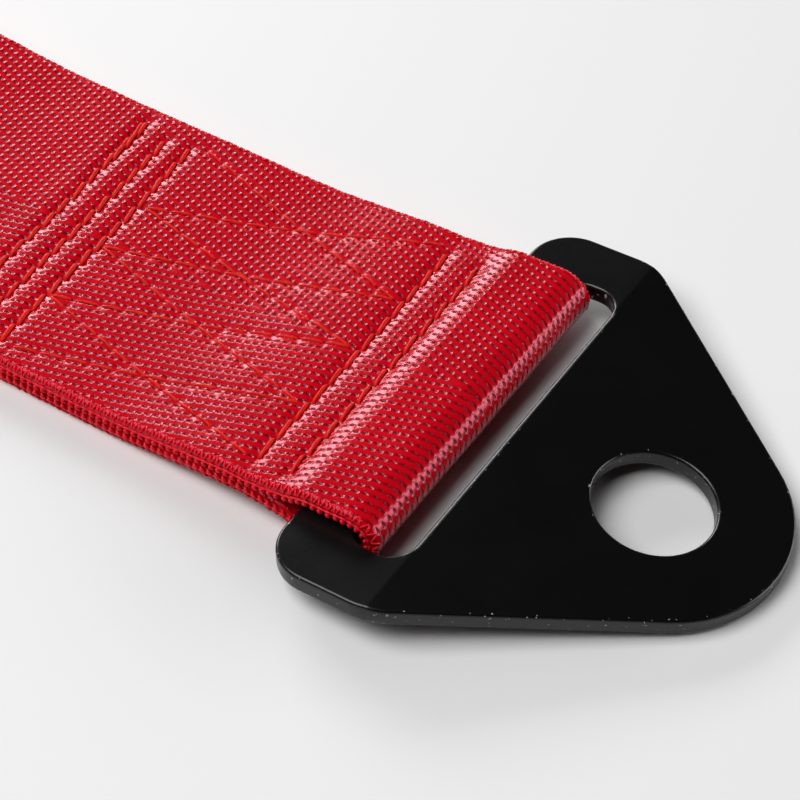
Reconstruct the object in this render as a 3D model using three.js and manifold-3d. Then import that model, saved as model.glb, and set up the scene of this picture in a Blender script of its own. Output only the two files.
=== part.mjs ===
// A tow strap: nylon webbing sewn into a loop round the bar of a bent steel bracket plate.
// Millimetres. +X runs from the strap's loop to the plate's nose, +Y to the left, +Z up.
// It lies as it rests on a level floor: the webbing flat, and the plate leaning on its nose.
import * as THREE from "three";
import { mergeVertices } from "three/addons/utils/BufferGeometryUtils.js";
import Module from "manifold-3d";

// Driving dimensions of the whole strap
const overallLength = 280;

// Driving dimensions of the bracket plate, laid out flat from the centre of the bolt hole
const plateWidth = 69.4;
const plateThickness = 2.6;
const boltHoleDiameter = 15.5;
const noseRadius = 17.4;
const holeToKnee = 18.7;
const kneeRadius = 8.1;
const backCornerRadius = 6;
const holeToBend = 19.1;
const bendAngle = THREE.MathUtils.degToRad(9.7);
const bendToSlot = 0.15;
const slotWidth = 8;
const slotLength = 53.4;
const slotCornerRadius = 3.6;
const barWidth = 7;
const plateEdgeChamfer = 0.4;

// Driving dimensions of the webbing and of how it lies round the bar
const webbingWidth = 51;
const webbingThickness = 2;
const gapOverBar = 0.6;
const gapUnderBar = 0.35;
const gapBeforeBar = 1.6;
const liftUnderBar = 0.7;
const loopHeight = 17;

// Driving dimensions of the seams that sew the two layers together
const barToFirstRow = 3.5;
const frontRowSpacing = 5;
const rearRowSpacing = 4.4;
const rearRowCount = 3;
const sewnLength = 40.5;
const rowLength = 44;
const lastRowToLoop = 5;
const threadWidth = 1;
const threadHeight = 0.5;
const tiesPerRow = 5;
const grooveClearance = 0.3;

const wasm = await Module();
wasm.setup();

// A closed mesh as a solid that can be joined and cut.
function solidOf(geometry) {
  const plain = geometry.index ? geometry.toNonIndexed() : geometry.clone();
  plain.deleteAttribute("normal");
  plain.deleteAttribute("uv");
  const merged = mergeVertices(plain, 1e-4);
  return new wasm.Manifold(new wasm.Mesh({
    numProp: 3,
    vertProperties: new Float32Array(merged.attributes.position.array),
    triVerts: new Uint32Array(merged.index.array),
  }));
}

// A solid as a three.js geometry.
function geometryOf(solid) {
  const mesh = solid.getMesh();
  const geometry = new THREE.BufferGeometry();
  geometry.setAttribute("position", new THREE.BufferAttribute(new Float32Array(mesh.vertProperties), 3));
  geometry.setIndex(new THREE.BufferAttribute(new Uint32Array(mesh.triVerts), 1));
  geometry.computeVertexNormals();
  return geometry;
}

// The bracket plate's outline: straight sides with rounded corners and knees, tapering to a round nose.
const halfWidth = plateWidth / 2;
const backX = -(holeToBend + bendToSlot + slotWidth + barWidth);
const taperAngle = Math.acos(noseRadius / Math.hypot(halfWidth, holeToKnee)) - Math.atan2(holeToKnee, halfWidth);
const apexX = noseRadius / Math.sin(taperAngle);

// Traces corners, each [x, y, radius], into a path whose corners are arcs.
function roundCorners(path, corners) {
  corners.forEach(([x, y, radius], i) => {
    const corner = new THREE.Vector2(x, y);
    const before = corners[(i + corners.length - 1) % corners.length];
    const after = corners[(i + 1) % corners.length];
    const back = new THREE.Vector2(before[0], before[1]).sub(corner).normalize();
    const ahead = new THREE.Vector2(after[0], after[1]).sub(corner).normalize();
    const halfAngle = Math.acos(back.dot(ahead)) / 2;
    const towardsCentre = back.clone().add(ahead).normalize();
    const centre = corner.clone().addScaledVector(towardsCentre, radius / Math.sin(halfAngle));
    const start = corner.clone().addScaledVector(back, radius / Math.tan(halfAngle)).sub(centre);
    const end = corner.clone().addScaledVector(ahead, radius / Math.tan(halfAngle)).sub(centre);
    const clockwise = start.cross(end) < 0;
    path.absarc(centre.x, centre.y, radius, start.angle(), end.angle(), clockwise);
  });
  path.closePath();
  return path;
}

function flatPlate() {
  const outline = roundCorners(new THREE.Shape(), [
    [backX, -halfWidth, backCornerRadius],
    [-holeToKnee, -halfWidth, kneeRadius],
    [apexX, 0, noseRadius],
    [-holeToKnee, halfWidth, kneeRadius],
    [backX, halfWidth, backCornerRadius],
  ]);
  const slotFront = -(holeToBend + bendToSlot);
  outline.holes.push(roundCorners(new THREE.Path(), [
    [slotFront, -slotLength / 2, slotCornerRadius],
    [slotFront - slotWidth, -slotLength / 2, slotCornerRadius],
    [slotFront - slotWidth, slotLength / 2, slotCornerRadius],
    [slotFront, slotLength / 2, slotCornerRadius],
  ]));
  const hole = new THREE.Path();
  hole.absarc(0, 0, boltHoleDiameter / 2, 0, Math.PI, false);
  hole.absarc(0, 0, boltHoleDiameter / 2, Math.PI, 2 * Math.PI, false);
  outline.holes.push(hole);
  const geometry = new THREE.ExtrudeGeometry(outline, {
    depth: plateThickness - 2 * plateEdgeChamfer,
    bevelThickness: plateEdgeChamfer,
    bevelSize: plateEdgeChamfer,
    bevelOffset: -plateEdgeChamfer,
    bevelSegments: 1,
    curveSegments: 10,
  });
  return geometry.translate(0, 0, plateEdgeChamfer - plateThickness);
}

// The plate's half width along the bend line, where the knee's arc has begun to turn in.
function halfWidthAtBend() {
  const kneeTangent = kneeRadius * Math.tan(taperAngle / 2);
  const arcStart = -holeToKnee - kneeTangent;
  const along = Math.max(0, -holeToBend - arcStart);
  return halfWidth - kneeRadius + Math.sqrt(kneeRadius ** 2 - along ** 2);
}

// The plate is bent across its width just before the slot, so the bar hangs lower than the bend.
function bentPlate() {
  const flat = solidOf(flatPlate());
  const front = flat.trimByPlane([1, 0, 0], -holeToBend);
  const turnAboutBend = new THREE.Matrix4()
    .makeTranslation(-holeToBend, 0, -plateThickness)
    .multiply(new THREE.Matrix4().makeRotationY(-bendAngle))
    .multiply(new THREE.Matrix4().makeTranslation(holeToBend, 0, plateThickness));
  const rear = solidOf(geometryOf(flat.trimByPlane([-1, 0, 0], holeToBend)).applyMatrix4(turnAboutBend));
  const overlap = 0.02;
  const wedge = new THREE.Shape();
  wedge.moveTo(overlap, 0);
  wedge.lineTo(overlap, plateThickness);
  wedge.absarc(0, 0, plateThickness, Math.PI / 2, Math.PI / 2 + bendAngle, false);
  wedge.lineTo(-overlap, 0);
  wedge.closePath();
  const knee = 2 * (halfWidthAtBend() - plateEdgeChamfer);
  const bend = new THREE.ExtrudeGeometry(wedge, { depth: knee, bevelEnabled: false, curveSegments: 2 });
  bend.rotateX(Math.PI / 2).translate(-holeToBend, knee / 2, -plateThickness);
  return front.add(rear).add(solidOf(bend));
}

// The plate leans from its nose's lower edge to the bar, which rests on the lower layer of webbing.
const half = webbingThickness / 2;
const barMiddle = bendToSlot + slotWidth + barWidth / 2;
const barUnderside = liftUnderBar + webbingThickness + gapUnderBar;
const reach = noseRadius + holeToBend + barMiddle * Math.cos(bendAngle);
const drop = barMiddle * Math.sin(bendAngle) - plateThickness * (1 - Math.cos(bendAngle));
const platePitch = Math.asin(barUnderside / Math.hypot(reach, drop)) + Math.atan2(drop, reach);
const holeHeight = noseRadius * Math.sin(platePitch) + plateThickness * Math.cos(platePitch);

// A point of the bar's section: how far behind the bend, and how high over its top face.
function barPoint(behindBend, height) {
  const x = -holeToBend - behindBend * Math.cos(bendAngle) - height * Math.sin(bendAngle);
  const z = -behindBend * Math.sin(bendAngle) + height * Math.cos(bendAngle);
  return new THREE.Vector2(
    x * Math.cos(platePitch) + z * Math.sin(platePitch),
    -x * Math.sin(platePitch) + z * Math.cos(platePitch) + holeHeight,
  );
}

// The webbing's route in the XZ plane, along the middle of its thickness.
const barFront = bendToSlot + slotWidth;
const barBack = barFront + barWidth;
const overBar = gapOverBar + half;
const underBar = -(plateThickness + gapUnderBar + half);
const firstRowX = barPoint(barBack, 0).x - barToFirstRow;
const secondRowX = firstRowX - frontRowSpacing;
const sewnEndX = secondRowX - sewnLength;
const rearRows = Array.from({ length: rearRowCount }, (_, i) => sewnEndX - i * rearRowSpacing);
const loopStartX = rearRows[rearRowCount - 1] - lastRowToLoop;
const farX = noseRadius * Math.cos(platePitch) - overallLength + half;

// Where the layers meet in the seams: raised beside the bar, and a layer's thickness high further back.
const riseShare = 0.9;
const settlingShare = 0.7;
const settlingPower = 1.5;
const seamRise = riseShare * (barPoint(barMiddle, -plateThickness / 2).y - webbingThickness);
function seamHeight(x) {
  const settled = THREE.MathUtils.smoothstep(-x, -secondRowX, -secondRowX + settlingShare * sewnLength);
  return webbingThickness + seamRise * (1 - settled) ** settlingPower;
}

const firstRowHeight = (barPoint(barBack, overBar).y + barPoint(barBack, underBar).y) / 2;
const firstRowSpread = half + 0.25 * plateThickness;

// The fold in front of the bar is half an ellipse, centred a little behind the bar's front face.
const foldCentreBehind = 0.07 * barWidth;
const foldReach = gapBeforeBar + half + foldCentreBehind;
const foldAngles = [80, 54, 27, 0, -27, -54, -80].map(THREE.MathUtils.degToRad);
const foldPoints = foldAngles.map((angle) => barPoint(
  barFront + foldCentreBehind - foldReach * Math.cos(angle),
  (overBar + underBar) / 2 + ((overBar - underBar) / 2) * Math.sin(angle),
));
const eyeRoute = new THREE.CatmullRomCurve3([
  new THREE.Vector2(secondRowX, seamHeight(secondRowX) + half),
  new THREE.Vector2(firstRowX, firstRowHeight + firstRowSpread),
  barPoint(barBack, overBar - 0.1 * gapOverBar),
  barPoint(barMiddle, overBar),
  ...foldPoints,
  barPoint(barMiddle, underBar),
  barPoint(barBack, underBar),
  new THREE.Vector2(firstRowX, firstRowHeight - firstRowSpread),
  new THREE.Vector2(secondRowX, seamHeight(secondRowX) - half),
].map((point) => new THREE.Vector3(point.x, 0, point.y)), false, "centripetal");

// The open loop: its lower layer lies flat, and its upper layer rises to the far fold.
// Each pair is the share of the loop's length and the share of its rise.
const loopLength = loopStartX - farX;
const upperHeight = webbingThickness + half;
const loopRise = loopHeight - upperHeight + half;
const upperLoop = [
  [0.08, 0.03], [0.16, 0.115], [0.27, 0.28], [0.43, 0.56], [0.6, 0.85], [0.78, 1], [0.9, 0.91], [0.972, 0.64],
].map(([along, rise]) => new THREE.Vector2(loopStartX - along * loopLength, upperHeight + rise * loopRise));
const lowerLoop = [0.93, 0.85, 0.6, 0.3].map((along) => new THREE.Vector2(loopStartX - along * loopLength, half));
const loopRoute = new THREE.CatmullRomCurve3([
  new THREE.Vector2(loopStartX, half),
  ...lowerLoop.toReversed(),
  new THREE.Vector2(loopStartX - 0.98 * loopLength, half + 0.13 * loopRise),
  new THREE.Vector2(farX, half + 0.45 * loopRise),
  ...upperLoop.toReversed(),
  new THREE.Vector2(loopStartX, upperHeight),
].map((point) => new THREE.Vector3(point.x, 0, point.y)), false, "centripetal");

const eyeSteps = 44;
const loopSteps = 64;
const seamSteps = 16;
const flatPoint = (point) => new THREE.Vector2(point.x, point.z);
const eyePoints = eyeRoute.getPoints(eyeSteps).map(flatPoint);
const loopPoints = loopRoute.getPoints(loopSteps).map(flatPoint);
const seamStations = Array.from({ length: seamSteps - 1 }, (_, i) => (i + 1) / seamSteps)
  .map((share) => THREE.MathUtils.lerp(secondRowX, loopStartX, share));
const lowerSeam = seamStations.map((x) => new THREE.Vector2(x, seamHeight(x) - half));
const upperSeam = seamStations.toReversed().map((x) => new THREE.Vector2(x, seamHeight(x) + half));
const route = [...eyePoints, ...lowerSeam, ...loopPoints, ...upperSeam];

// Moves every point of the closed route sideways: outwards for a positive distance.
function offsetRoute(distance) {
  return route.map((point, i) => {
    const before = route[(i + route.length - 1) % route.length];
    const after = route[(i + 1) % route.length];
    const along = after.clone().sub(before).normalize();
    return new THREE.Vector2(point.x - along.y * distance, point.y + along.x * distance);
  });
}

// Drops the points of a closed line that lie on the straight between their neighbours.
const leastTurn = 3e-4;
function withoutStraightPoints(points) {
  return points.filter((point, i) => {
    const before = points[(i + points.length - 1) % points.length];
    const after = points[(i + 1) % points.length];
    const arriving = point.clone().sub(before).normalize();
    const leaving = after.clone().sub(point).normalize();
    return Math.abs(arriving.cross(leaving)) > leastTurn;
  });
}

// The webbing is one piece: two layers sewn face to face, open round the bar and in the loop.
function webbingBody() {
  const outer = offsetRoute(half);
  outer.forEach((point) => { point.y = Math.max(0, point.y); });
  const inner = offsetRoute(-half);
  const loopStart = eyePoints.length + lowerSeam.length;
  const eye = inner.slice(1, eyePoints.length - 1);
  const loop = inner.slice(loopStart + 1, loopStart + loopPoints.length - 1);
  eye.unshift(new THREE.Vector2(secondRowX, seamHeight(secondRowX)));
  loop.unshift(new THREE.Vector2(loopStartX, webbingThickness));
  const outline = new THREE.Shape(withoutStraightPoints(outer).toReversed());
  outline.holes.push(new THREE.Path(withoutStraightPoints(eye)), new THREE.Path(withoutStraightPoints(loop)));
  const geometry = new THREE.ExtrudeGeometry(outline, { depth: webbingWidth, bevelEnabled: false });
  return { solid: solidOf(geometry.rotateX(Math.PI / 2).translate(0, webbingWidth / 2, 0)), outer };
}

// Height and slope of the webbing's upper or lower face at a seam row.
function faceAt(outer, x, side) {
  const crossings = outer.flatMap((a, i) => {
    const b = outer[(i + 1) % outer.length];
    const share = (x - a.x) / (b.x - a.x);
    const height = THREE.MathUtils.lerp(a.y, b.y, share);
    return share >= 0 && share < 1 ? [{ height, slope: Math.atan((b.y - a.y) / (b.x - a.x)) }] : [];
  });
  crossings.sort((a, b) => side * (b.height - a.height));
  return crossings[0];
}

// A bar of thread along a seam row, or the groove that it is pulled into, on one face of the webbing.
function rowBar(outer, x, side, grow) {
  const face = faceAt(outer, x, side);
  const height = threadHeight + grow;
  const bar = new THREE.BoxGeometry(threadWidth + 2 * grow, rowLength + 2 * grow, height + grow);
  bar.translate(0, 0, (-side * (height - grow)) / 2);
  return solidOf(bar.rotateY(-face.slope).translate(x, 0, face.height));
}

// A row's thread, or the room for it: a bar on each face, joined through the webbing at each tie.
function seamRow(outer, x, grow) {
  const top = faceAt(outer, x, 1).height - grow - threadHeight / 2;
  const bottom = faceAt(outer, x, -1).height + grow + threadHeight / 2;
  const ties = Array.from({ length: tiesPerRow }, (_, i) => i / (tiesPerRow - 1) - 0.5).map((share) => {
    const tie = new THREE.BoxGeometry(threadWidth + 2 * grow, threadWidth + 2 * grow, top - bottom);
    return solidOf(tie.translate(x, share * (rowLength - threadWidth), (top + bottom) / 2));
  });
  return ties.reduce((row, tie) => row.add(tie), rowBar(outer, x, 1, grow).add(rowBar(outer, x, -1, grow)));
}

const { solid: plainWebbing, outer: webbingOuter } = webbingBody();
const seamRows = [firstRowX, secondRowX, ...rearRows];
const webbingSolid = seamRows.reduce(
  (webbing, x) => webbing.subtract(seamRow(webbingOuter, x, grooveClearance)),
  plainWebbing,
);

const blackPaint = new THREE.MeshStandardMaterial({ color: 0x101010, roughness: 0.45, metalness: 0.2 });
const redNylon = new THREE.MeshStandardMaterial({ color: 0xb8101c, roughness: 0.55, metalness: 0 });
const redThread = new THREE.MeshStandardMaterial({ color: 0xd8281c, roughness: 0.5, metalness: 0 });

const plate = new THREE.Mesh(geometryOf(bentPlate()), blackPaint);
plate.name = "bracket_plate";
plate.rotation.y = platePitch;
plate.position.z = holeHeight;

const webbing = new THREE.Mesh(geometryOf(webbingSolid), redNylon);
webbing.name = "webbing";

const strap = new THREE.Group();
strap.add(plate, webbing);

seamRows.forEach((x, i) => {
  const thread = new THREE.Mesh(geometryOf(seamRow(webbingOuter, x, 0)), redThread);
  thread.name = `seam_row_${i + 1}`;
  strap.add(thread);
});

// The origin is on the floor under the middle of the whole strap.
const extent = new THREE.Box3().setFromObject(strap, true);
strap.position.set(-(extent.min.x + extent.max.x) / 2, 0, -extent.min.z);

export default strap;
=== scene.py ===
import math

import bmesh
import bpy
import numpy as np
from mathutils import Matrix, Vector


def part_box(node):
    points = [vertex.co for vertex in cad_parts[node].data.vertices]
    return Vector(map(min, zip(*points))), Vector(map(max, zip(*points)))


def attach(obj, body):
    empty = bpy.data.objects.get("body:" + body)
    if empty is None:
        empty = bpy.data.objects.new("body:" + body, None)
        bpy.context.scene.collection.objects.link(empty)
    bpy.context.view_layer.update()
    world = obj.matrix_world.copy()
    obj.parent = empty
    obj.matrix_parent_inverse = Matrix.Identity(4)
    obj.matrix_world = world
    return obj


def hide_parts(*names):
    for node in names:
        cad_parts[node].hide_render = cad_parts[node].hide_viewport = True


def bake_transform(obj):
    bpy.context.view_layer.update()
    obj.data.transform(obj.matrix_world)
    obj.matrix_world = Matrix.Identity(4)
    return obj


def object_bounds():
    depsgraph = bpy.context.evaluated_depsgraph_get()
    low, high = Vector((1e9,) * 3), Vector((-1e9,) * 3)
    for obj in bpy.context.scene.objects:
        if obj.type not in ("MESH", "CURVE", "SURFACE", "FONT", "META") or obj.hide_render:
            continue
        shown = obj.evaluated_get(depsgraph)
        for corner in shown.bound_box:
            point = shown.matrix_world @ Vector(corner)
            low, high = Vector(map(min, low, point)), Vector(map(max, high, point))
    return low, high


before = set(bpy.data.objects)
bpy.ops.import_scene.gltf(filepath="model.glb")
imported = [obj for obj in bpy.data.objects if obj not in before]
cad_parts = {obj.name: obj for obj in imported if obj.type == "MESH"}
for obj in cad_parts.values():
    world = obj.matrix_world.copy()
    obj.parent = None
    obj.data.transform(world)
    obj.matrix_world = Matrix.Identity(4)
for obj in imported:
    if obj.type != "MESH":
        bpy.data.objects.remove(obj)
cad_box = [list(corner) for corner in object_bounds()]
scene = bpy.context.scene
scene.view_settings.view_transform = "Standard"

# The view: from above the near side of the plate, looking along the strap to its loop.
# The strap's lengths are in millimetres, and mm turns them into metres.
mm = 0.001
camera_place = Vector((190.15, -173.89, 216.71)) * mm
camera_target = Vector((86.01, 0.27, 0)) * mm
camera_roll = math.radians(2.685)
camera_data = bpy.data.cameras.new("photo_camera")
camera_data.sensor_width = 36
camera_data.lens = 104.82
camera = bpy.data.objects.new("photo_camera", camera_data)
scene.collection.objects.link(camera)
aim = (camera_target - camera_place).to_track_quat("-Z", "Y").to_matrix().to_4x4()
camera.matrix_world = Matrix.Translation(camera_place) @ aim @ Matrix.Rotation(camera_roll, 4, "Z")
scene.camera = camera


# The bracket plate: 2.6 mm steel with a bolt hole and a slot for the webbing.
# It is stamped out, bent across its width just in front of the slot, and coated in satin black paint.
# It rests on its nose, and its bar lies in the eye of the webbing.
half_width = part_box("bracket_plate")[1].y / mm
plate_thickness = 2.6
hole_radius = 15.5 / 2
nose_radius = 17.4
hole_to_knee = 18.7
knee_radius = 8.1
back_corner_radius = 6
hole_to_bend = 19.1
bend_angle = math.radians(9.7)
bend_to_slot = 0.15
slot_width = 8
slot_length = 53.4
slot_corner_radius = 3.6
bar_width = 7
plate_pitch = math.radians(5.94)
hole_place = (122.68, 4.387)
rolled_edge = 0.45
bend_half_length = 0.1


def rounded_outline(corners, steps=14):
    """A closed outline whose corners, each (x, y, radius), are arcs."""
    points = []
    for i, (x, y, radius) in enumerate(corners):
        corner = Vector((x, y))
        back = (Vector(corners[i - 1][:2]) - corner).normalized()
        ahead = (Vector(corners[(i + 1) % len(corners)][:2]) - corner).normalized()
        half_angle = math.acos(back.dot(ahead)) / 2
        centre = corner + (back + ahead).normalized() * radius / math.sin(half_angle)
        start = corner + back * radius / math.tan(half_angle) - centre
        end = corner + ahead * radius / math.tan(half_angle) - centre
        turn = math.atan2(start.x * end.y - start.y * end.x, start.dot(end))
        for angle in np.linspace(0, turn, steps):
            c, s = math.cos(angle), math.sin(angle)
            points.append((centre.x + start.x * c - start.y * s, centre.y + start.x * s + start.y * c))
    return np.array(points)


def on_plate(behind_bend, height):
    """Where a point of the bent rear of the plate lies: (x, z), from its place behind the bend."""
    x = -hole_to_bend - behind_bend * math.cos(bend_angle) - height * math.sin(bend_angle)
    z = -behind_bend * math.sin(bend_angle) + height * math.cos(bend_angle)
    return lean(x, z)


def lean(x, z):
    """The plate leans on its nose: turns (x, z), measured from the bolt hole, into the part's frame."""
    c, s = math.cos(plate_pitch), math.sin(plate_pitch)
    return hole_place[0] + x * c + z * s, hole_place[1] - x * s + z * c


def plate_edge(bm, outline, away_from_steel, rim):
    """Adds the rolled edge round an outline, and returns its ring on the top and on the underside."""
    ahead = np.roll(outline, -1, 0) - np.roll(outline, 1, 0)
    ahead /= np.linalg.norm(ahead, axis=1)[:, None]
    outward = away_from_steel * np.stack([ahead[:, 1], -ahead[:, 0]], 1)
    quarter = np.linspace(0, math.pi / 2, 7)
    top = [(rolled_edge * (1 - math.sin(a)), -rolled_edge * (1 - math.cos(a))) for a in quarter]
    profile = top + [(inset, -plate_thickness - z) for inset, z in reversed(top)]
    rings = []
    for inset, z in profile:
        rings.append([bm.verts.new((x, y, z)) for x, y in outline - outward * inset])
    for upper, lower in zip(rings, rings[1:]):
        for i in range(len(outline)):
            face = bm.faces.new((upper[i - 1], upper[i], lower[i], lower[i - 1]))
            face[rim] = 1
    return rings[0], rings[-1]


def ring_edges(bm, rings):
    """The edges that run round each ring of vertices."""
    return [bm.edges.get((ring[i - 1], ring[i])) for ring in rings for i in range(len(ring))]


taper = math.acos(nose_radius / math.hypot(half_width, hole_to_knee)) - math.atan2(hole_to_knee, half_width)
nose_apex = nose_radius / math.sin(taper)
plate_back = -(hole_to_bend + bend_to_slot + slot_width + bar_width)
slot_front = -(hole_to_bend + bend_to_slot)
plate_outline = rounded_outline([
    (plate_back, -half_width, back_corner_radius),
    (-hole_to_knee, -half_width, knee_radius),
    (nose_apex, 0, nose_radius),
    (-hole_to_knee, half_width, knee_radius),
    (plate_back, half_width, back_corner_radius),
], 24)
slot_outline = rounded_outline([
    (slot_front, -slot_length / 2, slot_corner_radius),
    (slot_front, slot_length / 2, slot_corner_radius),
    (slot_front - slot_width, slot_length / 2, slot_corner_radius),
    (slot_front - slot_width, -slot_length / 2, slot_corner_radius),
])
around = np.linspace(0, 2 * math.pi, 96, endpoint=False)
hole_outline = hole_radius * np.stack([np.cos(around), np.sin(around)], 1)

bm = bmesh.new()
rim_layer = bm.faces.layers.float.new("rim")
edges = [
    plate_edge(bm, plate_outline, 1, rim_layer),
    plate_edge(bm, slot_outline, -1, rim_layer),
    plate_edge(bm, hole_outline, -1, rim_layer),
]
for side in (0, 1):
    bmesh.ops.triangle_fill(bm, use_beauty=True, edges=ring_edges(bm, [pair[side] for pair in edges]))
for x in np.linspace(-hole_to_bend - bend_half_length, -hole_to_bend + bend_half_length, 5):
    everything = bm.verts[:] + bm.edges[:] + bm.faces[:]
    bmesh.ops.bisect_plane(bm, geom=everything, plane_co=(x, 0, 0), plane_no=(1, 0, 0))
for v in bm.verts:
    turned = min(1, max(0, (-hole_to_bend + bend_half_length - v.co.x) / (2 * bend_half_length)))
    behind = max(0, -hole_to_bend - bend_half_length - v.co.x)
    ahead = max(0, v.co.x - (-hole_to_bend + bend_half_length))
    angle = turned * bend_angle
    rise = v.co.z + plate_thickness
    x = -hole_to_bend + ahead - behind * math.cos(angle) - rise * math.sin(angle)
    z = -plate_thickness - behind * math.sin(angle) + rise * math.cos(angle)
    x, z = lean(x, z)
    v.co = Vector((x, v.co.y, z)) * mm
bmesh.ops.recalc_face_normals(bm, faces=bm.faces)
plate_mesh = bpy.data.meshes.new("painted_plate")
bm.to_mesh(plate_mesh)
bm.free()
plate_mesh.shade_smooth()
plate = bpy.data.objects.new("painted_plate", plate_mesh)
scene.collection.objects.link(plate)
even_shading = plate.modifiers.new("even_shading", "WEIGHTED_NORMAL")
even_shading.mode = "FACE_AREA"


class Wire:
    """A socket in a material, so that sums on it are written as Python and become Math nodes."""

    def __init__(self, tree, socket):
        self.tree = tree
        self.socket = socket

    def node(self, kind, settings, sockets, out=0):
        """Adds a node of that type: its settings first, then the values or links of its sockets."""
        node = self.tree.nodes.new(kind)
        for name, value in settings.items():
            setattr(node, name, value)
        for name, value in sockets.items():
            if isinstance(value, Wire):
                self.tree.links.new(value.socket, node.inputs[name])
            else:
                node.inputs[name].default_value = value
        return Wire(self.tree, node.outputs[out])

    def maths(self, operation, *others):
        """A Math node that takes this value first, and then the others."""
        return self.node("ShaderNodeMath", {"operation": operation}, dict(enumerate([self, *others])))

    def __add__(self, other):
        return self.maths("ADD", other)

    def __sub__(self, other):
        return self.maths("SUBTRACT", other)

    def __rsub__(self, other):
        return self * -1 + other

    def __mul__(self, other):
        return self.maths("MULTIPLY", other)

    def __truediv__(self, other):
        return self.maths("DIVIDE", other)

    def __rtruediv__(self, other):
        return self.maths("POWER", -1) * other

    __radd__ = __add__
    __rmul__ = __mul__

    def bell(self, width):
        """1 where this value is 0, falling smoothly to nothing over about that width to either side."""
        scaled = self / width
        return (scaled * scaled * -1).maths("EXPONENT")


def new_material(name, **values):
    """A material, its Principled shader with these constant values, and a Wire to build on."""
    material = bpy.data.materials.new(name)
    material.use_nodes = True
    shader = material.node_tree.nodes["Principled BSDF"]
    for socket, value in values.items():
        shader.inputs[socket.replace("_", " ")].default_value = value
    return material, shader, Wire(material.node_tree, None)


def feed(shader, socket, wire):
    """Links a Wire to a socket of the shader."""
    wire.tree.links.new(wire.socket, shader.inputs[socket])


def black_paint():
    """Satin black powder paint: a fine orange-peel skin, with bright specks worn into the edges."""
    material, shader, start = new_material("satin_black_paint", Specular_IOR_Level=0.4)
    place = start.node("ShaderNodeTexCoord", {}, {}, "Object")
    rim = start.node("ShaderNodeAttribute", {"attribute_name": "rim"}, {}, "Fac")
    peel = start.node("ShaderNodeTexNoise", {}, {"Vector": place, "Scale": 1400.0, "Detail": 2.0})
    smudges = start.node("ShaderNodeTexNoise", {}, {"Vector": place, "Scale": 90.0, "Detail": 4.0})
    chips = start.node("ShaderNodeTexNoise", {}, {"Vector": place, "Scale": 1900.0, "Detail": 1.0})
    worn = rim * chips.maths("GREATER_THAN", 0.715)
    colour = start.node("ShaderNodeMix", {"data_type": "RGBA"}, {
        "Factor": worn, 6: (0.002, 0.002, 0.0022, 1), 7: (0.3, 0.29, 0.27, 1)}, 2)
    feed(shader, "Base Color", colour)
    feed(shader, "Roughness", 0.23 + smudges * 0.1)
    relief = start.node("ShaderNodeBump", {}, {"Height": peel * 0.012 + smudges * 0.03, "Distance": mm})
    feed(shader, "Normal", relief)
    return material


plate_mesh.materials.append(black_paint())
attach(plate, "bracket")
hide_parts("bracket_plate")


# The webbing: one 51 mm band of red nylon, 2 mm thick, woven in a four-end twill that turns at its middle.
# Its ends are tucked under the seam, so it runs as a ring: over the bar, under it, and round the open loop.
webbing_width = 51
half = 2 / 2
gap_over_bar = 0.6
gap_under_bar = 0.35
gap_before_bar = 1.6
loop_height = 17
bar_to_first_row = 3.5
front_row_spacing = 5
rear_row_spacing = 4.4
sewn_length = 40.5
last_row_to_loop = 5
far_end_x = cad_box[0][0] / mm + half


def spline(points, steps=40):
    """A smooth line through the points, with that many steps between each two."""
    points = np.array(points, float)
    padded = np.vstack([2 * points[0] - points[1], points, 2 * points[-1] - points[-2]])
    line = []
    for a, b, c, d in zip(padded, padded[1:], padded[2:], padded[3:]):
        gaps = [np.linalg.norm(b - a), np.linalg.norm(c - b), np.linalg.norm(d - c)]
        ta, tb, tc, td = np.cumsum([0, *np.sqrt(gaps)])
        t = np.linspace(tb, tc, steps, endpoint=False)[:, None]
        ab = ((tb - t) * a + (t - ta) * b) / (tb - ta)
        bc = ((tc - t) * b + (t - tb) * c) / (tc - tb)
        cd = ((td - t) * c + (t - tc) * d) / (td - tc)
        abc = ((tc - t) * ab + (t - ta) * bc) / (tc - ta)
        bcd = ((td - t) * bc + (t - tb) * cd) / (td - tb)
        line.append(((tc - t) * abc + (t - tb) * bcd) / (tc - tb))
    return np.vstack([*line, points[-1:]])


bar_front = bend_to_slot + slot_width
bar_back = bar_front + bar_width
bar_middle = bar_front + bar_width / 2
over_bar = gap_over_bar + half
under_bar = -(plate_thickness + gap_under_bar + half)
first_row = on_plate(bar_back, 0)[0] - bar_to_first_row
second_row = first_row - front_row_spacing
rear_rows = [second_row - sewn_length - i * rear_row_spacing for i in range(3)]
loop_start = rear_rows[-1] - last_row_to_loop

# Where the two layers meet in the seam: raised beside the bar, and flat on the floor further back.
seam_rise = 0.9 * (on_plate(bar_middle, -plate_thickness / 2)[1] - 2 * half)


def seam_height(x):
    settled = np.clip((second_row - x) / (0.7 * sewn_length), 0, 1)
    settled = settled * settled * (3 - 2 * settled)
    return 2 * half + seam_rise * (1 - settled) ** 1.5


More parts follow.
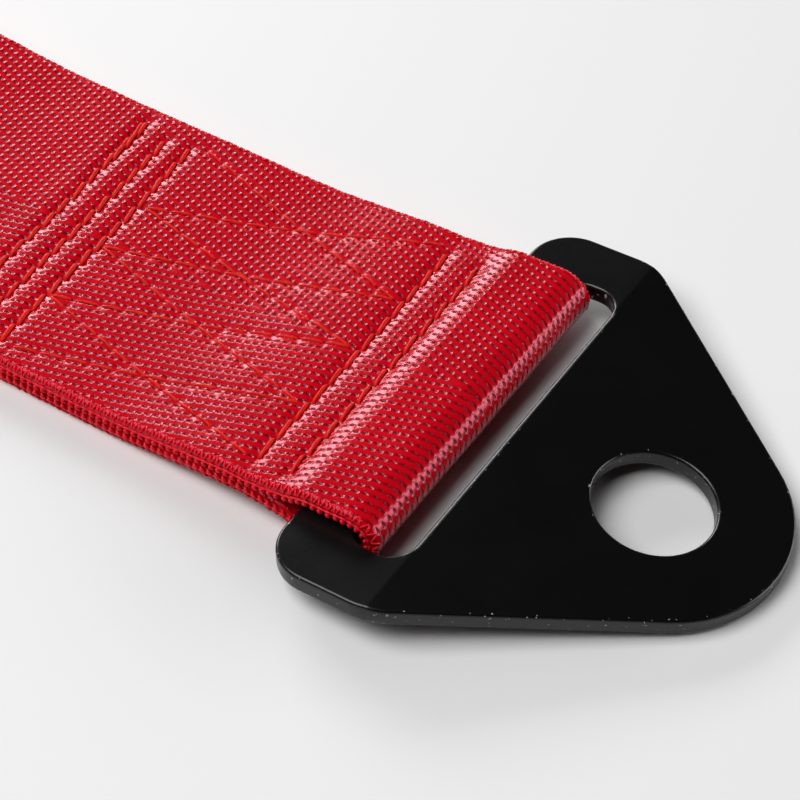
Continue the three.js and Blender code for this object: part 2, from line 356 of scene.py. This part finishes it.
first_row_height = (on_plate(bar_back, over_bar)[1] + on_plate(bar_back, under_bar)[1]) / 2
first_row_spread = half + 0.25 * plate_thickness
fold_set_back = 0.07 * bar_width
fold_centre = bar_front + fold_set_back
fold_reach = gap_before_bar + half + fold_set_back
fold = [on_plate(
    fold_centre - fold_reach * math.cos(angle),
    (over_bar + under_bar) / 2 + (over_bar - under_bar) / 2 * math.sin(angle),
) for angle in np.radians([80, 54, 27, 0, -27, -54, -80])]
eye_line = spline([
    (second_row, seam_height(second_row) + half),
    (first_row, first_row_height + first_row_spread),
    on_plate(bar_back, over_bar - 0.1 * gap_over_bar),
    on_plate(bar_middle, over_bar),
    *fold,
    on_plate(bar_middle, under_bar),
    on_plate(bar_back, under_bar),
    (first_row, first_row_height - first_row_spread),
    (second_row, seam_height(second_row) - half),
])
loop_length = loop_start - far_end_x
upper_height = 3 * half
loop_rise = loop_height - upper_height + half
upper_shares = [
    (0.08, 0.03), (0.16, 0.115), (0.27, 0.28), (0.43, 0.56),
    (0.6, 0.85), (0.78, 1), (0.9, 0.91), (0.972, 0.64),
]
upper_points = [
    (loop_start - along * loop_length, upper_height + rise * loop_rise)
    for along, rise in reversed(upper_shares)
]
loop_line = spline([
    (loop_start, half),
    *[(loop_start - share * loop_length, half) for share in (0.3, 0.6, 0.85, 0.93)],
    (loop_start - 0.98 * loop_length, half + 0.13 * loop_rise),
    (far_end_x, half + 0.45 * loop_rise),
    *upper_points,
    (loop_start, upper_height),
])
seam_x = np.linspace(second_row, loop_start, 200)[1:-1]
lower_seam = np.stack([seam_x, seam_height(seam_x) - half], 1)
upper_seam = np.stack([seam_x, seam_height(seam_x) + half], 1)[::-1]
ring = np.vstack([loop_line[30:], upper_seam, eye_line, lower_seam, loop_line[:30]])

# The ring's length is counted from its underside, in the open loop, where no eye falls on its first row.
segments = np.diff(np.vstack([ring, ring[:1]]), axis=0)
lengths = np.concatenate([[0], np.cumsum(np.linalg.norm(segments, axis=1))])
ring_length = lengths[-1]
fine = np.linspace(0, ring_length, 4800, endpoint=False)
ring = np.stack([np.interp(fine, lengths, np.append(ring[:, i], ring[0, i])) for i in (0, 1)], 1)
for _ in range(3):
    ring = (np.roll(ring, 1, 0) + 2 * ring + np.roll(ring, -1, 0)) / 4
ahead = np.roll(ring, -1, 0) - np.roll(ring, 1, 0)
ahead /= np.linalg.norm(ahead, axis=1)[:, None]
outward = np.stack([-ahead[:, 1], ahead[:, 0]], 1)
far_index = int(ring[:, 0].argmin())
front_index = int(ring[:, 0].argmax())


drift_start = 75
drift_length = 200
drift_reach = 1.5


def drift(x):
    """The band isn't laid quite straight: behind the seam it wanders a little to its near side."""
    share = np.clip((drift_start - x) / drift_length, 0, 1)
    return -drift_reach / 2 * (1 - np.cos(2 * math.pi * share))


def on_webbing(s, y, n):
    """Points (in millimetres) at length s round the ring, y across it, and n out from its middle."""
    s, y, n = np.broadcast_arrays(s, y, n)
    place = [np.interp(s % ring_length, fine, ring[:, i], period=ring_length) for i in (0, 1)]
    out = [np.interp(s % ring_length, fine, outward[:, i], period=ring_length) for i in (0, 1)]
    x = place[0] + out[0] * n
    return np.stack([x, y + drift(place[0]), place[1] + out[1] * n], -1)


def upper_length(x):
    """How far round the ring the upper layer is at x."""
    return np.interp(x, ring[far_index:front_index + 1, 0], fine[far_index:front_index + 1])


def lower_length(x):
    """How far round the ring the lower layer is at x, in the seam and under the bar."""
    return np.interp(x, ring[front_index:, 0][::-1], fine[front_index:][::-1])


# The seams' paths in plan, as (x, y) ends of runs, from the front to the rear.
# Two rows sew the layers together behind the bar, three rows end the seam, and two zigzags fill it.
row_near, row_far = -22.6, 21.2
zig_front, zig_rear = second_row - 1.4, rear_rows[0] + 0.6
stitch_length = 3.45
rows = [
    [(first_row, row_far - 0.8), (first_row + 0.25, 2), (first_row - 0.2, row_near)],
    [(second_row - 0.3, row_far), (second_row + 0.1, 0), (second_row - 0.35, row_near + 0.4)],
    [(rear_rows[0] - 1.5, row_far), (rear_rows[0] - 0.2, 4), (rear_rows[0] + 0.5, row_near)],
    [(rear_rows[1] - 0.9, row_far - 0.6), (rear_rows[1], 4), (rear_rows[1] + 0.6, row_near)],
    [(rear_rows[2] - 1.3, row_far + 1), (rear_rows[2] + 0.1, 4), (rear_rows[2] + 0.6, row_near)],
    [(rear_rows[2] - 0.9, row_far + 1.4), (rear_rows[2] - 0.5, 13.5)],
]
zigzags = [
    [(zig_rear, 22.2), (zig_front, 10), (zig_rear, -1.4), (zig_front, -12), (zig_rear + 2, -22.6)],
    [(zig_front, 22.4), (zig_rear, 7.9), (zig_front, -0.3), (zig_rear, -12.6), (zig_front, -22.6)],
]
row_pull, zigzag_pull = 1.0, 0.45
runs = [(row, row_pull) for row in rows] + [(zigzag, zigzag_pull) for zigzag in zigzags]


def stitches_of(run, random):
    """Cuts a run into single stitches, each from needle hole to needle hole."""
    ends = []
    for a, b in zip(run, run[1:]):
        a, b = np.array(a), np.array(b)
        count = max(1, round(float(np.linalg.norm(b - a)) / stitch_length))
        shares = np.linspace(0, 1, count + 1)
        shares[1:-1] += random.normal(0, 0.035, count - 1) / count
        ends += [(a + (b - a) * u, a + (b - a) * v) for u, v in zip(shares, shares[1:])]
    return ends


random = np.random.default_rng(7)
top_stitches = [(a, b, size) for run, size in runs for a, b in stitches_of(run, random)]
under_stitches = [(a, b, size) for run, size in runs for a, b in stitches_of(run, random)]
pull_depth = 0.38
pull_width = 0.95
pull_reach = 6
hole_share = 0.16


def pulled_in(x, y, stitches):
    """How deep the stitches pull the webbing in at (x, y)."""
    depth = np.zeros(x.shape)
    for a, b, size in stitches:
        near = (abs(x - (a[0] + b[0]) / 2) < pull_reach) & (abs(y - (a[1] + b[1]) / 2) < pull_reach)
        if not near.any():
            continue
        p = np.stack([x[near], y[near]], 1) - a
        run = b - a
        share = np.clip(p @ run / (run @ run), 0, 1)
        distance = np.linalg.norm(p - share[:, None] * run, axis=1)
        hole = np.exp(-((share / hole_share) ** 2)) + np.exp(-(((1 - share) / hole_share) ** 2))
        pull = pull_depth * size * (0.5 + 0.75 * hole) * np.exp(-((distance / pull_width) ** 2))
        depth[near] = np.maximum(depth[near], pull)
    return depth


def soft_waves(x, y, seed, size):
    """A gentle unevenness, made of a few sine waves with fixed directions."""
    waves = np.random.default_rng(seed)
    total = np.zeros(np.broadcast(x, y).shape)
    for _ in range(7):
        angle = waves.uniform(0, math.pi)
        scale = waves.uniform(0.6, 1.6)
        phase = waves.uniform(0, 2 * math.pi)
        along = x * math.cos(angle) + y * math.sin(angle)
        total += np.sin(along * scale * 2 * math.pi / size + phase)
    return total / 7


# The band's section: a flat top and underside, and edges that are rounded where the weft turns back.
edge_round = 0.75
underside_gap = 0.02
across_top = np.linspace(-webbing_width / 2 + edge_round, webbing_width / 2 - edge_round, 74)
across_under = np.linspace(webbing_width / 2 - edge_round, -webbing_width / 2 + edge_round, 20)
turn = np.linspace(math.pi / 2, -math.pi / 2, 7)[1:-1]
far_edge = np.stack([webbing_width / 2 - edge_round + edge_round * np.cos(turn), half * np.sin(turn)], 1)
near_edge = far_edge[::-1] * [-1, 1]
section = np.vstack([
    np.stack([across_top, np.full(len(across_top), half)], 1),
    far_edge,
    np.stack([across_under, np.full(len(across_under), -half + underside_gap)], 1),
    near_edge,
])
face_wave = 0.05
edge_wave = 0.12
fine_step, coarse_step = 0.42, 0.85
fine_from, fine_to = upper_length(rear_rows[-1] - 8), lower_length(rear_rows[-1] - 8)
stations = np.concatenate([
    np.arange(0, fine_from, coarse_step),
    np.arange(fine_from, fine_to, fine_step),
    np.arange(fine_to, ring_length - coarse_step / 2, coarse_step),
])
s, y = np.broadcast_arrays(stations[:, None], section[None, :, 0])
n = np.broadcast_to(section[None, :, 1], s.shape).copy()
place = on_webbing(s, y, 0)
upper = (s > fine[far_index]) & (s < fine[front_index])
outer_share = np.clip(n / half, 0, 1)
n -= outer_share * np.where(
    upper,
    pulled_in(place[..., 0], y, top_stitches),
    pulled_in(place[..., 0], y, under_stitches),
)
n += face_wave * soft_waves(s, y, 3, 11) * outer_share
webbing_points = on_webbing(s, y + edge_wave * soft_waves(s, 0 * y, 5, 14) * np.sign(y), n)
rows, columns = s.shape
grid = np.arange(rows * columns).reshape(rows, columns)
ahead_grid, beside_grid = np.roll(grid, -1, 0), np.roll(grid, -1, 1)
webbing_faces = np.stack([grid, ahead_grid, np.roll(ahead_grid, -1, 1), beside_grid], -1).reshape(-1, 4)

webbing_mesh = bpy.data.meshes.new("woven_webbing")
webbing_mesh.from_pydata((webbing_points.reshape(-1, 3) * mm).tolist(), [], webbing_faces.tolist())
weave_map = webbing_mesh.uv_layers.new(name="weave")
corner_s = np.stack([s, np.append(s[1:], s[:1] + ring_length, 0)], -1)
along = np.stack([corner_s[..., 0], corner_s[..., 1], corner_s[..., 1], corner_s[..., 0]], -1)
beside = np.roll(y, -1, 1)
across = np.stack([y, y, beside, beside], -1)
weave_map.data.foreach_set("uv", np.stack([along, across], -1).astype(np.float32).ravel())
webbing_mesh.shade_smooth()
webbing = bpy.data.objects.new("woven_webbing", webbing_mesh)
scene.collection.objects.link(webbing)

pick_spacing = 1.08
end_spacing = 0.305
plain_border = 1.1
nylon_gloss = (1, 0.26, 0.42, 1)


def red_weave():
    """Glossy nylon in a four-end twill. Each warp end dives at every fourth weft and leaves a pit. The
    colour holds painted shade, darker in the pits and along the twill grooves, and a painted highlight, a
    little lighter on the crowns.
    """
    material, shader, start = new_material("red_nylon_weave", Specular_Tint=nylon_gloss)
    place = start.node("ShaderNodeUVMap", {"uv_map": "weave"}, {})
    wander = start.node("ShaderNodeTexNoise", {}, {"Vector": place, "Scale": 0.35, "Detail": 2.0}, "Color")
    wander = start.node("ShaderNodeVectorMath", {"operation": "MULTIPLY_ADD"}, {
        0: wander, 1: (0.5, 0.22, 0), 2: place})
    along = start.node("ShaderNodeSeparateXYZ", {}, {"Vector": wander}, "X")
    sideways = start.node("ShaderNodeSeparateXYZ", {}, {"Vector": wander}, "Y")
    across = sideways.maths("ABSOLUTE")
    pick = (along / pick_spacing).maths("ROUND")
    from_pick = along - pick * pick_spacing
    pit_row = across + pick * end_spacing
    from_pit = pit_row.maths("WRAP", 2 * end_spacing, -2 * end_spacing)
    rib_row = across + along * (end_spacing / pick_spacing)
    from_rib = rib_row.maths("WRAP", 2 * end_spacing, -2 * end_spacing)
    inside = across.maths("LESS_THAN", webbing_width / 2 - plain_border)
    pit = inside * (from_pick + 0.12).bell(0.27) * from_pit.bell(0.15)
    crown = (from_pick - 0.36).bell(0.27) * from_pit.bell(0.28)
    rib = from_rib.bell(0.24)
    stretch = start.node("ShaderNodeVectorMath", {"operation": "MULTIPLY"}, {0: wander, 1: (0.9, 11, 1)})
    filaments = start.node("ShaderNodeTexNoise", {}, {"Vector": stretch, "Scale": 1.0, "Detail": 2.0})
    height = filaments * 0.005 + crown * 0.09 - pit * 0.08 - rib * 0.035
    relief = start.node("ShaderNodeBump", {}, {"Height": height, "Distance": mm})
    feed(shader, "Normal", relief)
    tone = start.node("ShaderNodeTexNoise", {}, {"Vector": place, "Scale": 0.12, "Detail": 3.0})
    red = start.node("ShaderNodeMix", {"data_type": "RGBA"}, {
        "Factor": tone, 6: (0.5, 0.0015, 0.008, 1), 7: (0.72, 0.003, 0.012, 1)}, 2)
    feed(shader, "Roughness", 0.2 + pit * 0.2)
    # Painted shade and highlight: the colour darkens towards the dark red in the pits and along the twill
    # grooves, where shade falls, and lightens on the crowns, where the glints fall.
    painted_shade = (pit * 0.9 + rib * 0.5 + 0.2 - crown * 0.2).maths("MINIMUM", 1.0)
    colour = start.node("ShaderNodeMix", {"data_type": "RGBA"}, {
        "Factor": painted_shade, 6: red, 7: (0.16, 0.0, 0.003, 1)}, 2)
    feed(shader, "Base Color", colour)
    return material


webbing_mesh.materials.append(red_weave())
blend_from = (second_row * mm, 0, 0)
blend_to = ((first_row + bar_to_first_row) * mm, 0, 0)
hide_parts("webbing")


# The stitches: bright red three-ply nylon thread, sewn through both layers of the webbing by machine.
# Each stitch runs from needle hole to needle hole, locks with the thread of the other face, and pulls
# the webbing in.
def threads(name, lines, ups, width, height, sides=10, plies=0, turns=0.0):
    """A mesh of short threads: lines and ups are (thread, point, xyz), width and height (thread, point)."""
    count, steps = lines.shape[:2]
    ahead = np.gradient(lines, axis=1)
    ahead /= np.linalg.norm(ahead, axis=2)[..., None]
    sides_to = np.cross(ahead, ups)
    sides_to /= np.linalg.norm(sides_to, axis=2)[..., None]
    ups = np.cross(sides_to, ahead)
    angle = np.linspace(0, 2 * math.pi, sides, endpoint=False)
    twist = np.linspace(0, 2 * math.pi * turns, steps)
    ply_depth = 0.13 if plies else 0
    swell = 1 + ply_depth * np.cos(plies * angle[None, :] - twist[:, None])
    reach_side = np.cos(angle)[None, :] * swell
    reach_up = np.sin(angle)[None, :] * swell
    points = (
        lines[:, :, None]
        + sides_to[:, :, None] * (reach_side * width[..., None] / 2)[..., None]
        + ups[:, :, None] * (reach_up * height[..., None] / 2)[..., None]
    )
    grid = np.arange(count * steps * sides).reshape(count, steps, sides)
    beside = np.roll(grid, -1, 2)
    quads = np.stack([grid[:, :-1], beside[:, :-1], beside[:, 1:], grid[:, 1:]], -1).reshape(-1, 4)
    caps = np.concatenate([grid[:, 0, ::-1], grid[:, -1]])
    mesh = bpy.data.meshes.new(name)
    mesh.from_pydata((points.reshape(-1, 3) * mm).tolist(), [], quads.tolist() + caps.tolist())
    mesh.shade_smooth()
    piece = bpy.data.objects.new(name, mesh)
    scene.collection.objects.link(piece)
    return piece


thread_width = 0.54
thread_height = 0.46
stitch_slant = 0.26
stitch_arch = 0.13
dive_depth = 0.85
bed_height, zigzag_bed_height = 0.2, -0.08


def sewn(name, stitches, length_at, random):
    """All the stitches of one face, each a low arch that dives into its two needle holes."""
    share = np.linspace(0, 1, 15)
    a = np.array([stitch[0] for stitch in stitches])
    b = np.array([stitch[1] for stitch in stitches])
    size = np.array([stitch[2] for stitch in stitches])
    jitter = random.normal(0, 0.06, (len(stitches), 2))
    lean_over = np.where(size == row_pull, stitch_slant, 0.0)
    x = a[:, :1] + (b - a)[:, :1] * share + jitter[:, :1] + lean_over[:, None] * (share - 0.4) * 2
    y = a[:, 1:] + (b - a)[:, 1:] * share
    dive = np.exp(-share / 0.04) + np.exp(-(1 - share) / 0.04)
    bed = np.where(size == row_pull, bed_height, zigzag_bed_height)[:, None]
    arch = stitch_arch * np.sin(math.pi * share) * random.uniform(0.7, 1.3, (len(a), 1))
    n = half - pull_depth * size[:, None] + bed + arch - dive_depth * dive
    s = length_at(x)
    lines = on_webbing(s, y, n)
    ups = on_webbing(s, y, n + 1) - lines
    swell = (1 - 0.4 * dive) * (0.9 + 0.1 * np.sin(math.pi * share))
    slimmer = np.where(size == row_pull, 1, 0.75)[:, None]
    width = thread_width * slimmer * swell * random.uniform(0.9, 1.1, (len(a), 1))
    return threads(name, lines, ups, width, thread_height * swell + 0 * width, 12, 3, 1.3)


def red_thread():
    """Satin thread, brighter and more orange than the webbing, with its plies showing as slanting lines."""
    material, shader, start = new_material(
        "red_thread", Roughness=0.45, Specular_IOR_Level=0.25, Specular_Tint=(1, 0.4, 0.35, 1))
    place = start.node("ShaderNodeTexCoord", {}, {}, "Object")
    fuzz = start.node("ShaderNodeTexNoise", {}, {"Vector": place, "Scale": 2600.0, "Detail": 2.0})
    tone = start.node("ShaderNodeTexNoise", {}, {"Vector": place, "Scale": 260.0, "Detail": 1.0})
    colour = start.node("ShaderNodeMix", {"data_type": "RGBA"}, {
        "Factor": tone, 6: (0.5, 0.007, 0.005, 1), 7: (0.8, 0.02, 0.011, 1)}, 2)
    feed(shader, "Base Color", colour)
    relief = start.node("ShaderNodeBump", {}, {"Height": fuzz * 0.06, "Distance": mm})
    feed(shader, "Normal", relief)
    return material


thread_material = red_thread()
thread_pieces = [
    sewn("stitches_on_top", top_stitches, upper_length, random),
    sewn("stitches_underneath", under_stitches, lower_length, random),
]
for piece in thread_pieces:
    piece.data.materials.append(thread_material)
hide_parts(*[f"seam_row_{i + 1}" for i in range(5)])


# The selvedges: along both edges the nylon weft turns back in a chain of small loops, which the loom knits.
# Each loop shows as a V on the corner of the edge, and below it a strand along the edge and a knot.
loop_spacing = 1.08

# Each strand of a loop: where it starts and ends (along, across and up from the edge's middle),
# how far it bulges, and its width.
strands = (
    ((-0.5, -0.8, 0.98 * half), (-0.02, 0.04, 0.4 * half), 0.25, 0.36),
    ((0.5, -0.75, 0.98 * half), (0.06, 0.04, 0.35 * half), 0.25, 0.36),
    ((-0.65, 0.0, -0.02 * half), (0.65, 0.0, -0.1 * half), 0.1, 0.42),
    ((-0.34, 0.05, -0.3 * half), (0.3, -0.02, -0.8 * half), 0.3, 0.58),
)


def selvedge(name, side, random):
    """One edge's chain, with the strands of every loop, all round the ring."""
    count = int(ring_length / loop_spacing)
    base = np.arange(count) * ring_length / count + random.normal(0, 0.03, count)
    share = np.linspace(0, 1, 7)
    edge = webbing_width / 2
    lines, ups, widths = [], [], []
    for start, end, bulge, width in strands:
        start, end = np.array(start), np.array(end)
        path = start + (end - start) * share[:, None]
        wobble = random.normal(0, 0.025, (count, 1, 3))
        path = path[None] + wobble
        s = base[:, None] + path[..., 0]
        y = side * (edge + path[..., 1] + bulge * np.sin(math.pi * share) * 0.6)
        n = path[..., 2] + bulge * np.sin(math.pi * share) * 0.4
        line = on_webbing(s, y, n)
        lines.append(line)
        ups.append(on_webbing(s, y + side * 0.7, n + 0.7) - line)
        widths.append(np.broadcast_to(width * np.sin(math.pi * (0.12 + 0.76 * share)) ** 0.7, (count, 7)))
    width = np.concatenate(widths)
    return threads(name, np.concatenate(lines), np.concatenate(ups), width, width * 0.85, 6)


def selvedge_yarn():
    """The same nylon as the webbing, in small glossy yarns."""
    material, shader, start = new_material("red_nylon_yarn", Roughness=0.22, Specular_Tint=nylon_gloss)
    place = start.node("ShaderNodeTexCoord", {}, {}, "Object")
    tone = start.node("ShaderNodeTexNoise", {}, {"Vector": place, "Scale": 900.0, "Detail": 1.0})
    colour = start.node("ShaderNodeMix", {"data_type": "RGBA"}, {
        "Factor": tone, 6: (0.6, 0.006, 0.014, 1), 7: (0.85, 0.012, 0.025, 1)}, 2)
    feed(shader, "Base Color", colour)
    return material


yarn_material = selvedge_yarn()
for name, side in (("near_selvedge", -1), ("far_selvedge", 1)):
    piece = selvedge(name, side, random)
    piece.data.materials.append(yarn_material)
    thread_pieces.append(piece)

for piece in [webbing, *thread_pieces]:
    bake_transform(piece)


# The setting: a plain pale floor, a large soft box above for the main light, and two low soft boxes
# behind the strap that its gloss reflects. Its lengths are in metres.
def soft_box(name, azimuth, elevation, distance, width, height, power):
    """A soft light that faces the strap from that direction, in degrees and metres."""
    light = bpy.data.lights.new(name, "AREA")
    light.shape = "RECTANGLE"
    light.size, light.size_y, light.energy = width, height, power
    a, e = math.radians(azimuth), math.radians(elevation)
    from_strap = Vector((math.cos(a) * math.cos(e), math.sin(a) * math.cos(e), math.sin(e)))
    lamp = bpy.data.objects.new(name, light)
    lamp.matrix_world = (
        Matrix.Translation(Vector((0.08, 0, 0)) + from_strap * distance)
        @ (-from_strap).to_track_quat("-Z", "Y").to_matrix().to_4x4()
    )
    scene.collection.objects.link(lamp)


soft_box("soft_box_behind_left", 148, 21, 0.9, 0.55, 0.24, 5)
soft_box("soft_box_behind_right", 38, 13, 0.9, 0.8, 0.24, 4.5)
soft_box("soft_box_above_left", 226, 60, 1.1, 0.8, 0.8, 12)

floor_mesh = bpy.data.meshes.new("floor")
floor_size = 6
floor_corners = [(x * floor_size, y * floor_size, 0) for x, y in ((-1, -1), (1, -1), (1, 1), (-1, 1))]
floor_mesh.from_pydata(floor_corners, [], [(0, 1, 2, 3)])
floor = bpy.data.objects.new("floor", floor_mesh)
scene.collection.objects.link(floor)
floor_mesh.materials.append(new_material("pale_floor", Roughness=0.7, Base_Color=(0.8, 0.8, 0.8, 1))[0])

world = bpy.data.worlds.new("studio")
world.use_nodes = True
scene.world = world
surroundings = world.node_tree.nodes["Background"]
surroundings.inputs["Color"].default_value = (1, 1, 1, 1)
sky = Wire(world.node_tree, None)
upwards = sky.node("ShaderNodeSeparateXYZ", {}, {
    "Vector": sky.node("ShaderNodeTexCoord", {}, {}, "Generated")}, "Z")
dim = upwards.node("ShaderNodeMapRange", {}, {
    "Value": upwards, "From Min": 0.05, "From Max": 0.35, "To Min": 0.16, "To Max": 0.005})
world.node_tree.links.new(dim.socket, surroundings.inputs["Strength"])
